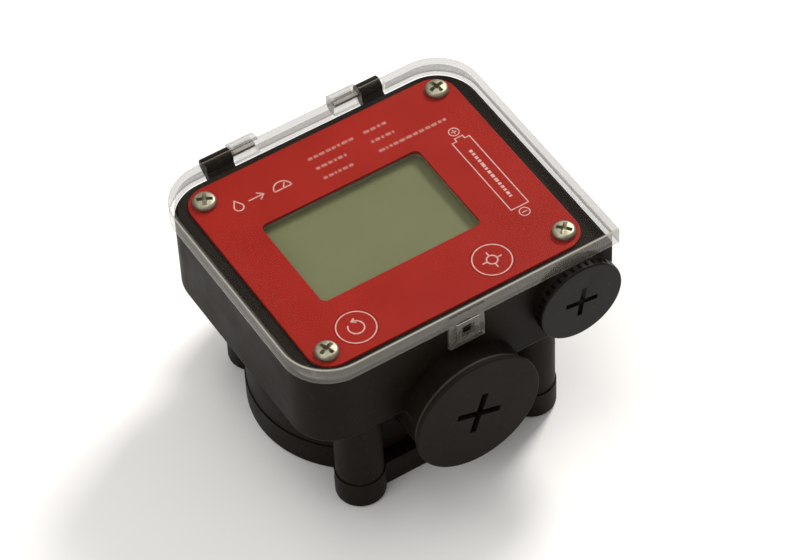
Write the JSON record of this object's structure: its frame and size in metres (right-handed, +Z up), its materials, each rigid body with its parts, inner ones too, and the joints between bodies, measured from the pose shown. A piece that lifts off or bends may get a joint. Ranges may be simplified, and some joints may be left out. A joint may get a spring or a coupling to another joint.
{
  "type": "fuel flow meter",
  "caption": "Battery powered fuel flow meter: black moulded case with threaded ports, meshing rotors, display and keys on a red plate, hinged clear lid, screw plug and battery cap.",
  "frame": {"origin": "middle of the bounding box, on the resting plane under the bottom cover", "axes": "+X to the right as the display is read, +Y to the rear (hinge side), +Z up out of the display"},
  "size_m": [0.0834, 0.0848, 0.0571],
  "materials": {
    "black_case": "moulded black plastic, fine spark texture",
    "black_plug": "moulded black plastic, dull",
    "black_cap": "moulded black plastic, dull face and glossy rim",
    "clear_lid": "clear moulded plastic",
    "clear_pane": "clear plastic window",
    "red_plate": "red printed film, semi-gloss",
    "pale_ink": "pinkish white screen-printed ink",
    "plated_screw": "yellow-white zinc plated steel",
    "shaft_steel": "ground stainless steel",
    "seal_rubber": "black nitrile rubber",
    "washer_fibre": "dark grey fibre-filled rubber",
    "display_grey": "grey-green display glass, unlit",
    "frame_black": "moulded black plastic",
    "board_green": "solder-masked glass epoxy board",
    "component_black": "moulded component bodies",
    "contact_rubber": "striped conductive rubber",
    "contact_metal": "nickel plated spring metal",
    "rotor_plastic": "machined acetal",
    "bush_brass": "sintered bearing metal",
    "magnet_metal": "nickel plated magnets",
    "cell_wrap": "plain printed shrink sleeve"
  },
  "bodies": {
    "housing": {"housing": "black_case", "bottom_cover": "black_case", "cover_gasket": "seal_rubber", "cover_screws": "plated_screw", "rotor_shafts": "shaft_steel", "flow_sensor": "component_black", "circuit_board": "board_green", "board_screws": "plated_screw", "board_components": "component_black", "tact_switches": "component_black", "contact_rubbers": "contact_rubber", "display_glass": "display_grey", "display_frame": "frame_black", "window_pane": "clear_pane", "faceplate_gasket": "seal_rubber", "faceplate": "red_plate", "faceplate_screws": "plated_screw", "hinge_pins": "shaft_steel", "battery_contacts": "contact_metal"},
    "lid": {"lid": "clear_lid"},
    "reset_key": {"reset_key": "red_plate"},
    "calibrate_key": {"calibrate_key": "red_plate"},
    "left_rotor": {"left_rotor": "rotor_plastic", "left_bush": "bush_brass", "rotor_magnets": "magnet_metal"},
    "right_rotor": {"right_rotor": "rotor_plastic", "right_bush": "bush_brass"},
    "plug_washer": {"plug_washer": "washer_fibre"},
    "front_plug": {"front_plug": "black_plug"},
    "cap_seal": {"cap_seal": "seal_rubber"},
    "battery_cap": {"battery_cap": "black_cap", "battery_spring": "contact_metal"},
    "battery_cell": {"battery_cell": "cell_wrap"}
  },
  "joints": [
    {"name": "lid_hinge", "type": "hinge", "parent": "housing", "child": "lid", "pos_m": [0, 0.037, 0.0536], "axis": [-1, 0, 0], "range_deg": [0, 180]},
    {"name": "reset_press", "type": "slide", "parent": "housing", "child": "reset_key", "axis": [0, 0, -1], "range_m": [0, 0.0004], "stiffness_N_per_m": 800},
    {"name": "calibrate_press", "type": "slide", "parent": "housing", "child": "calibrate_key", "axis": [0, 0, -1], "range_m": [0, 0.0004], "stiffness_N_per_m": 800},
    {"name": "left_rotor_spin", "type": "hinge", "parent": "housing", "child": "left_rotor", "pos_m": [-0.0148, 0, 0.0167], "axis": [0, 0, 1], "continuous": true},
    {"name": "right_rotor_spin", "type": "hinge", "parent": "housing", "child": "right_rotor", "pos_m": [0.0112, 0, 0.0167], "axis": [0, 0, 1], "continuous": true},
    {"name": "plug_out", "type": "slide", "parent": "housing", "child": "plug_washer", "axis": [0, -1, 0], "range_m": [0, 0.01088]},
    {"name": "plug_turn", "type": "hinge", "parent": "plug_washer", "child": "front_plug", "pos_m": [-0.0018, -0.0354, 0.0268], "axis": [0, -1, 0], "range_deg": [0, 2160]},
    {"name": "cap_out", "type": "slide", "parent": "housing", "child": "cap_seal", "axis": [0, -1, 0], "range_m": [0, 0.00675]},
    {"name": "cap_turn", "type": "hinge", "parent": "cap_seal", "child": "battery_cap", "pos_m": [0.0294, -0.035, 0.0418], "axis": [0, -1, 0], "range_deg": [0, 1620]},
    {"name": "cell_out", "type": "slide", "parent": "housing", "child": "battery_cell", "axis": [0, -1, 0], "range_m": [0, 0.00675]}
  ],
  "couplings": [
    {"joint": "right_rotor_spin", "follows": "left_rotor_spin", "ratio": -1},
    {"joint": "plug_turn", "follows": "plug_out", "rad_per_m": 3463.7},
    {"joint": "cap_turn", "follows": "cap_out", "rad_per_m": 4188.8},
    {"joint": "cell_out", "follows": "cap_out", "ratio": 1}
  ]
}
